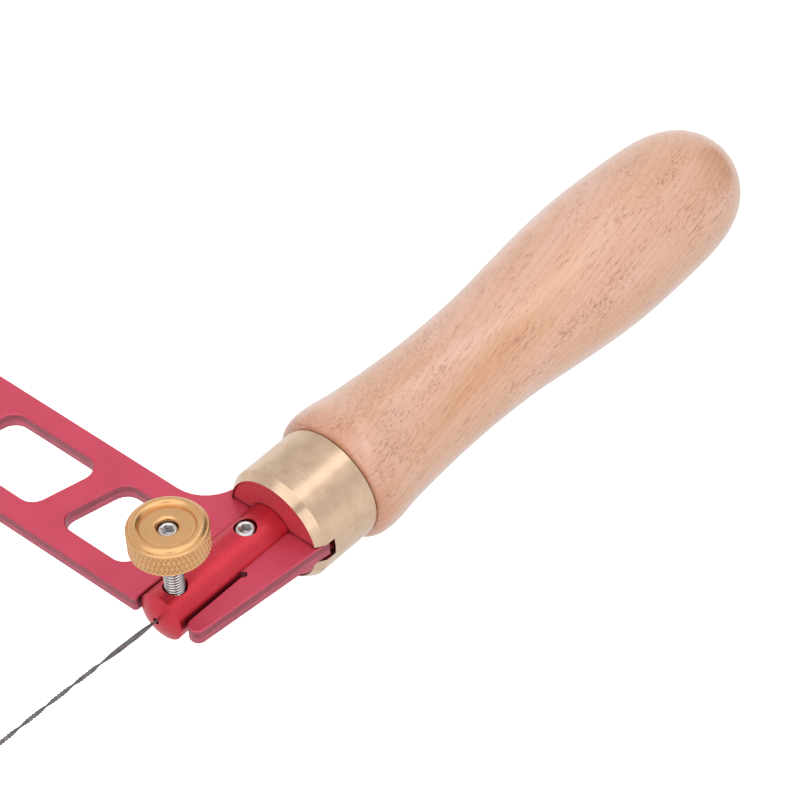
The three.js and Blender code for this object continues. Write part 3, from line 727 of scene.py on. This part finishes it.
def spiral_blade():
    """A flat blade, twisted between its clamped ends, with teeth filed along both edges. Its free
    length bows a little sideways between the two barrels."""
    low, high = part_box("blade")
    length = high.x - low.x
    plain = 27 * MM                # without teeth at each end
    steps = round(length / (TOOTH_PITCH / 6))
    far_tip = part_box("far_barrel")[1].x - low.x
    near_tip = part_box("near_barrel")[0].x - low.x
    held = 4.2 * MM                # the twist runs on this far into the near clamp
    loose = 16.4 * MM              # and is looser over this length beside each clamp
    twist_at = (far_tip, far_tip + loose, near_tip - loose, near_tip, near_tip + held)
    twist = np.radians((0, 235, 2105, 2285, 2340))
    thin = 0.86                    # the edges' thickness, as a share of the middle's
    rings = []
    for step in range(steps + 1):
        along = length * step / steps
        angle = float(np.interp(along, twist_at, twist))
        toothed = min(1.0, max(0.0, (along - plain) / MM), max(0.0, (length - plain - along) / MM))
        phase = (along / TOOTH_PITCH) % 1
        gullet = TOOTH_DEPTH * toothed * (phase if phase < 0.8 else (1 - phase) * 4)
        free = min(1.0, max(0.0, (along - far_tip) / (near_tip - far_tip)))
        bow = BLADE_BOW * math.sin(math.pi * free)
        ring = []
        for y, z in ((-1, -1), (0, -1), (1, -1), (1, 1), (0, 1), (-1, 1)):
            across = y * (BLADE_WIDTH / 2 - gullet)
            up = z * BLADE_THICK / 2 * (1.0 if y == 0 else thin)
            ring.append((along, bow + across * math.cos(angle) - up * math.sin(angle),
                         across * math.sin(angle) + up * math.cos(angle)))
        rings.append(ring)
    rings.insert(0, [(0, 0, 0)])
    rings.append([(length, 0, 0)])
    made = loft("spiral_blade", rings, DARK, Vector((low.x, BLADE_AXIS.y, BLADE_AXIS.z)), 20)
    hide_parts("blade")
    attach(made, "frame")


# ---------------------------------------------------------------- the CAD nodes that stay

CREASE = math.radians(28)          # edges bent by more stay crisp


def finish_node(node, material, edge):
    """Gives a CAD node its material, smooth faces with crisp edges, and edges broken by edge metres."""
    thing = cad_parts[node]
    mesh = thing.data
    mesh.materials.clear()
    mesh.materials.append(material)
    for name in ("custom_normal", "sharp_edge", "sharp_face"):
        if name in mesh.attributes:
            mesh.attributes.remove(mesh.attributes[name])
    mesh.polygons.foreach_set("use_smooth", [True] * len(mesh.polygons))
    weld = thing.modifiers.new("weld", "WELD")
    weld.merge_threshold = 0.002 * MM
    if edge:
        bevel = thing.modifiers.new("bevel", "BEVEL")
        bevel.width = edge
        bevel.segments = 1
        bevel.limit_method = "ANGLE"
        bevel.angle_limit = math.radians(35)
        bevel.use_clamp_overlap = True
    split = thing.modifiers.new("split", "EDGE_SPLIT")
    split.split_angle = CREASE
    split.use_edge_sharp = False


make_camera()
make_stage()

# node, material, and millimetres taken off its sharp edges
for node_name, node_material, broken_edge in (
    ("frame_plate", PLATE, 0),
    ("ferrule", BRASS, 0),
    ("collar", DULL_RED, 0.1),
    ("tang_pin", STEEL, 0.1),
    ("handle_insert", BRASS, 0),
    ("handle_stud", STEEL, 0),
    ("near_barrel", RED, 0.2),
    ("far_barrel", RED, 0.2),
    ("near_pressure_pad", BRASS, 0),
    ("far_pressure_pad", BRASS, 0),
    ("tension_housing", RED, 0.12),
    ("housing_screw_1", STEEL, 0.08),
    ("housing_screw_2", STEEL, 0.08),
    ("guide_screw", STEEL, 0.08),
    ("rod_pin", STEEL, 0.08),
    ("thrust_washer", STEEL, 0.08),
):
    finish_node(node_name, node_material, broken_edge * MM)

handle()
spiral_blade()

for side in ("near", "far"):
    knob_low, knob_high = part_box(f"{side}_thumb_knob")
    knob_place = middle(f"{side}_thumb_knob")
    knob_place.z = knob_low.z
    knurled_knob(f"{side}_knurled_knob", f"{side}_thumb_knob", f"{side}_screw", knob_place, UP,
                 knob_high.z - knob_low.z, GOLD_UPRIGHT)
    stud_low, stud_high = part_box(f"{side}_thumb_stud")
    stud_place = middle(f"{side}_thumb_stud")
    stud_place.z = stud_low.z
    threaded(f"{side}_threaded_stud", [f"{side}_thumb_stud"], f"{side}_screw", stud_place, UP,
             stud_high.z - stud_low.z)

set_low, set_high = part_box("near_set_screw")
set_place = middle("near_set_screw")
set_place.z = set_low.z
threaded("near_socket_set_screw", ["near_set_screw"], "frame", set_place, UP, set_high.z - set_low.z)

nut_low, nut_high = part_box("tension_knob")
nut_place = middle("tension_knob")
nut_place.x = nut_high.x
knurled_knob("tension_knurled_knob", "tension_knob", "tension_nut", nut_place, ALONG_MINUS_X,
             nut_high.x - nut_low.x, GOLD_LYING)
rod_low, rod_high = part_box("draw_rod")
rod_place = middle("draw_rod")
rod_place.x = rod_high.x
threaded("threaded_draw_rod", ["draw_rod"], "far_clamp", rod_place, ALONG_MINUS_X,
         rod_high.x - rod_low.x, socket=0)
